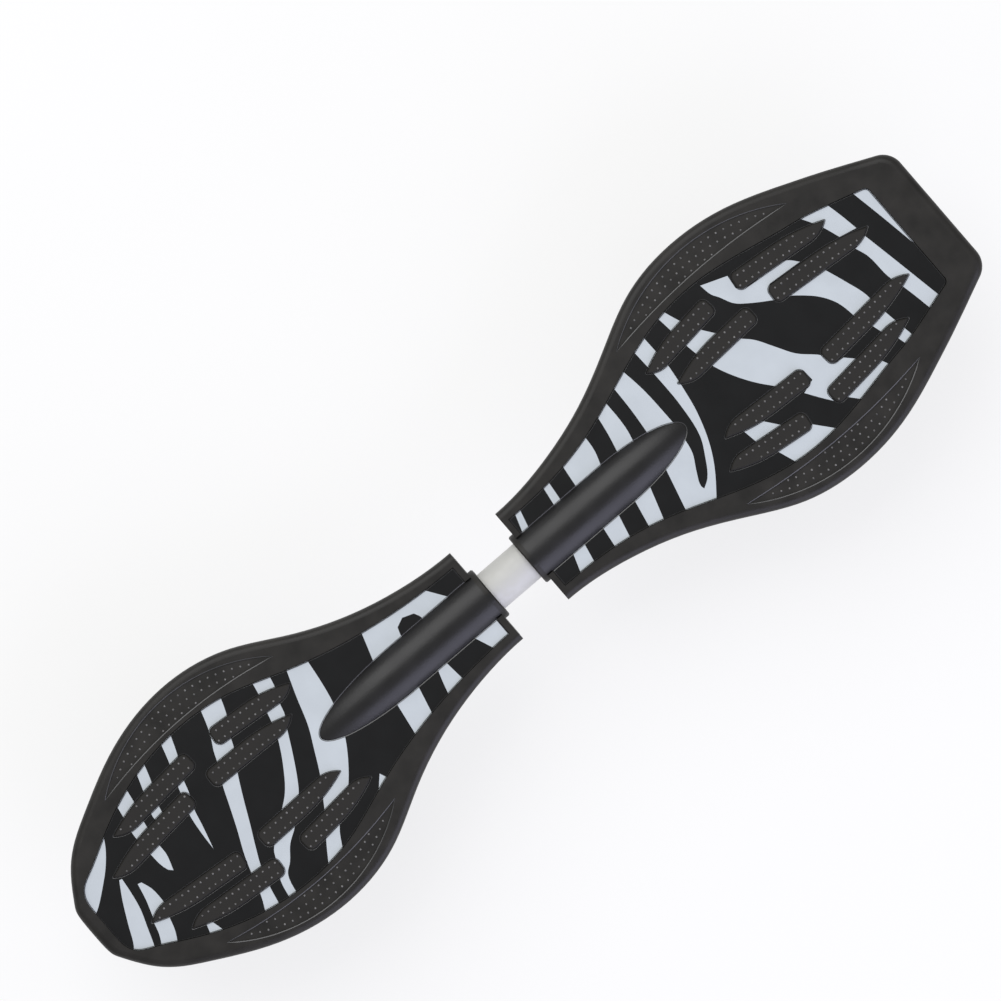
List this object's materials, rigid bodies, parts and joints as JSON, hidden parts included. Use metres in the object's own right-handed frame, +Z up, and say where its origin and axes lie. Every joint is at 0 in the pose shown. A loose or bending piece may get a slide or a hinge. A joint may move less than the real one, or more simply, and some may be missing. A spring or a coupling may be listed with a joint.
{
  "type": "caster board",
  "caption": "Caster board: two dotted-grip foot decks twisting on one torsion tube, each carried by a leaning swivel caster with one wheel.",
  "frame": {"origin": "on the floor, under the middle of the board's length and width", "axes": "+X from the tail to the nose, +Y to the left of a rider facing the nose, +Z up"},
  "size_m": [0.865, 0.2278, 0.1264],
  "materials": {
    "rim_plastic": "matte black",
    "panel_print": "semi-gloss black with pale blue-grey stripes",
    "pad_rubber": "matte black, dotted",
    "fairing_plastic": "satin black",
    "skid_plastic": "satin black",
    "bush_plastic": "satin black",
    "bright_screw": "bright zinc",
    "stripe_print": "semi-gloss pale blue-grey print",
    "fork_black": "gloss black",
    "alloy": "drawn",
    "spring_steel": "rolled",
    "zinc_steel": "zinc plated",
    "fork_chrome": "polished",
    "bearing_steel": "ground",
    "urethane": "ivory, translucent",
    "core_plastic": "grey"
  },
  "bodies": {
    "tail_deck_body": {"tail_deck": "rim_plastic", "tail_foot_panel": "panel_print", "tail_grip_pads": "pad_rubber", "tail_fairing": "fairing_plastic", "tail_bottom_cover": "rim_plastic", "tail_skid_pads": "skid_plastic", "tail_cover_screws": "bright_screw", "tail_skid_screws": "bright_screw", "tail_spine_bolt": "bright_screw", "tail_collar": "bush_plastic", "tail_inner_bush": "bush_plastic", "tail_rod_anchor": "alloy", "tail_king_bolt": "zinc_steel", "tail_king_washers": "zinc_steel", "tail_king_nut": "zinc_steel", "torsion_tube": "alloy", "torsion_rod": "spring_steel"},
    "nose_deck_body": {"nose_deck": "rim_plastic", "nose_foot_panel": "panel_print", "nose_grip_pads": "pad_rubber", "nose_fairing": "fairing_plastic", "nose_bottom_cover": "rim_plastic", "nose_skid_pads": "skid_plastic", "nose_cover_screws": "bright_screw", "nose_skid_screws": "bright_screw", "nose_spine_bolt": "bright_screw", "nose_collar": "bush_plastic", "nose_inner_bush": "bush_plastic", "nose_rod_anchor": "alloy", "nose_king_bolt": "zinc_steel", "nose_king_washers": "zinc_steel", "nose_king_nut": "zinc_steel"},
    "tail_fork_body": {"tail_fork": "fork_chrome", "tail_fork_bearings": "bearing_steel", "tail_axle_bolt": "zinc_steel", "tail_axle_nut": "zinc_steel", "tail_axle_washers": "zinc_steel"},
    "nose_fork_body": {"nose_fork": "fork_chrome", "nose_fork_bearings": "bearing_steel", "nose_axle_bolt": "zinc_steel", "nose_axle_nut": "zinc_steel", "nose_axle_washers": "zinc_steel"},
    "tail_wheel_body": {"tail_tyre": "urethane", "tail_wheel_core": "core_plastic", "tail_wheel_bearings": "bearing_steel", "tail_bearing_spacer": "alloy"},
    "nose_wheel_body": {"nose_tyre": "urethane", "nose_wheel_core": "core_plastic", "nose_wheel_bearings": "bearing_steel", "nose_bearing_spacer": "alloy"}
  },
  "joints": [
    {"name": "deck_twist", "type": "hinge", "parent": "tail_deck_body", "child": "nose_deck_body", "pos_m": [0.00675, 0, 0.10296], "axis": [1, 0, 0], "range_deg": [-20, 20], "stiffness_Nm_per_rad": 30, "deforming": ["torsion_rod"]},
    {"name": "nose_swivel", "type": "hinge", "parent": "nose_deck_body", "child": "nose_fork_body", "pos_m": [0.32946, 0, 0.07296], "axis": [-0.5, 0, -0.866], "continuous": true},
    {"name": "nose_wheel_spin", "type": "hinge", "parent": "nose_fork_body", "child": "nose_wheel_body", "pos_m": [0.27001, 0, 0.038], "axis": [0, 1, 0], "continuous": true},
    {"name": "tail_swivel", "type": "hinge", "parent": "tail_deck_body", "child": "tail_fork_body", "pos_m": [-0.21057, 0, 0.07296], "axis": [-0.5, 0, -0.866], "continuous": true},
    {"name": "tail_wheel_spin", "type": "hinge", "parent": "tail_fork_body", "child": "tail_wheel_body", "pos_m": [-0.27001, 0, 0.038], "axis": [0, 1, 0], "continuous": true}
  ]
}
